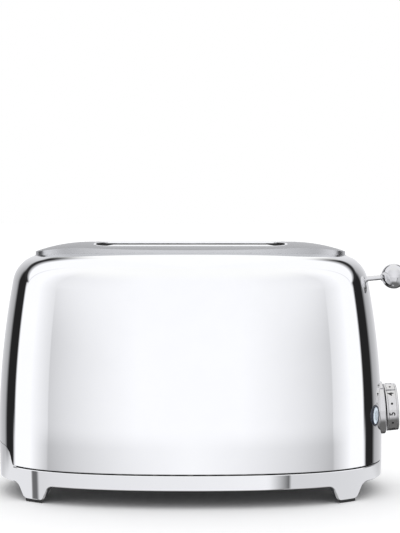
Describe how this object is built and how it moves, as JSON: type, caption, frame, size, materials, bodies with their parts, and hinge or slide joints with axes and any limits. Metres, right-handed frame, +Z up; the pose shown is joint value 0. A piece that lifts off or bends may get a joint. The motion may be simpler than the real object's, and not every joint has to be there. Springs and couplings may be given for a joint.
{
  "type": "pop-up toaster",
  "caption": "Retro chrome pop-up toaster with long bread slots, a side lever with a ball grip, a numbered dial, a crumb tray and short legs.",
  "frame": {"origin": "on the floor under the middle of the outer box, lever included", "axes": "+Z up; +X along the toaster towards the lever and the dial; -Y is the front"},
  "size_m": [0.3248, 0.195, 0.1979],
  "materials": {
    "chrome": "polished",
    "satin_plate": "satin",
    "lip_chrome": "polished",
    "knob_satin": "satin",
    "bezel_chrome": "polished",
    "black_plastic": "moulded",
    "pad_rubber": "matte",
    "cord_rubber": "matte",
    "inner_steel": "plain sheet",
    "bright_rod": "drawn wire",
    "reflector": "plain sheet",
    "mica": "layered mica",
    "ribbon": "heat darkened",
    "core_iron": "machined",
    "coil_copper": "enamelled wire",
    "board_green": "lacquered",
    "component_black": "moulded",
    "terminal_white": "moulded",
    "button_ring": "gloss",
    "button_cap": "translucent"
  },
  "bodies": {
    "toaster_body": {"base_band": "chrome", "board_components": "component_black", "body_shell": "chrome", "bottom_cover": "black_plastic", "button_ring_front": "button_ring", "button_ring_rear": "button_ring", "button_switches": "component_black", "chassis_plate_left": "inner_steel", "chassis_plate_right": "inner_steel", "circuit_board": "board_green", "cord_gland": "cord_rubber", "cover_screws": "bright_rod", "dial_bezel": "bezel_chrome", "foot_pad_front_left": "pad_rubber", "foot_pad_front_right": "pad_rubber", "foot_pad_rear_left": "pad_rubber", "foot_pad_rear_right": "pad_rubber", "guide_rods": "bright_rod", "heater_board_front_inner": "mica", "heater_board_front_outer": "mica", "heater_board_rear_inner": "mica", "heater_board_rear_outer": "mica", "heater_ribbons_front_inner": "ribbon", "heater_ribbons_front_outer": "ribbon", "heater_ribbons_rear_inner": "ribbon", "heater_ribbons_rear_outer": "ribbon", "magnet_coils": "coil_copper", "magnet_core": "core_iron", "potentiometer": "component_black", "reflector_front": "reflector", "reflector_rear": "reflector", "rod_brackets": "inner_steel", "slot_lip_front": "lip_chrome", "slot_lip_rear": "lip_chrome", "terminal_block": "terminal_white", "top_plate": "satin_plate", "tray_runners": "inner_steel"},
    "carriage_body": {"carriage": "inner_steel", "lever_stem": "chrome", "lever_ball": "chrome", "keeper_plate": "inner_steel", "bread_carrier_front": "inner_steel", "bread_carrier_rear": "inner_steel", "lift_spring": "bright_rod"},
    "guard_front_a": {"bread_guard_front_a": "bright_rod"},
    "guard_front_b": {"bread_guard_front_b": "bright_rod"},
    "guard_rear_a": {"bread_guard_rear_a": "bright_rod"},
    "guard_rear_b": {"bread_guard_rear_b": "bright_rod"},
    "dial": {"dial_knob": "knob_satin", "dial_shaft": "bright_rod"},
    "button_front": {"button_cap_front": "button_cap"},
    "button_rear": {"button_cap_rear": "button_cap"},
    "tray": {"crumb_tray": "inner_steel", "tray_front": "chrome"}
  },
  "joints": [
    {"name": "carriage_slide", "type": "slide", "parent": "toaster_body", "child": "carriage_body", "axis": [0, 0, -1], "range_m": [0, 0.06], "stiffness_N_per_m": 80, "springref_m": -0.05, "deforming": ["lift_spring"]},
    {"name": "guard_front_a_hinge", "type": "hinge", "parent": "toaster_body", "child": "guard_front_a", "pos_m": [-0.0098, -0.032, 0.044], "axis": [-1, 0, 0], "range_deg": [0, 4]},
    {"name": "guard_front_b_hinge", "type": "hinge", "parent": "toaster_body", "child": "guard_front_b", "pos_m": [-0.0098, -0.007, 0.044], "axis": [1, 0, 0], "range_deg": [0, 4]},
    {"name": "guard_rear_a_hinge", "type": "hinge", "parent": "toaster_body", "child": "guard_rear_a", "pos_m": [-0.0098, 0.007, 0.044], "axis": [-1, 0, 0], "range_deg": [0, 4]},
    {"name": "guard_rear_b_hinge", "type": "hinge", "parent": "toaster_body", "child": "guard_rear_b", "pos_m": [-0.0098, 0.032, 0.044], "axis": [1, 0, 0], "range_deg": [0, 4]},
    {"name": "dial_turn", "type": "hinge", "parent": "toaster_body", "child": "dial", "pos_m": [0.1384, 0, 0.0638], "axis": [0.9976, 0, 0.0698], "range_deg": [-150, 100]},
    {"name": "button_front_press", "type": "slide", "parent": "toaster_body", "child": "button_front", "axis": [-0.9272, 0.3746, 0], "range_m": [0, 0.0015], "stiffness_N_per_m": 300, "springref_m": -0.002},
    {"name": "button_rear_press", "type": "slide", "parent": "toaster_body", "child": "button_rear", "axis": [-0.9272, -0.3746, 0], "range_m": [0, 0.0015], "stiffness_N_per_m": 300, "springref_m": -0.002},
    {"name": "tray_slide", "type": "slide", "parent": "toaster_body", "child": "tray", "axis": [-1, 0, 0], "range_m": [0, 0.19]}
  ],
  "couplings": [
    {"joint": "guard_front_a_hinge", "follows": "carriage_slide", "rad_per_m": 1.1635},
    {"joint": "guard_front_b_hinge", "follows": "carriage_slide", "rad_per_m": 1.1635},
    {"joint": "guard_rear_a_hinge", "follows": "carriage_slide", "rad_per_m": 1.1635},
    {"joint": "guard_rear_b_hinge", "follows": "carriage_slide", "rad_per_m": 1.1635}
  ]
}
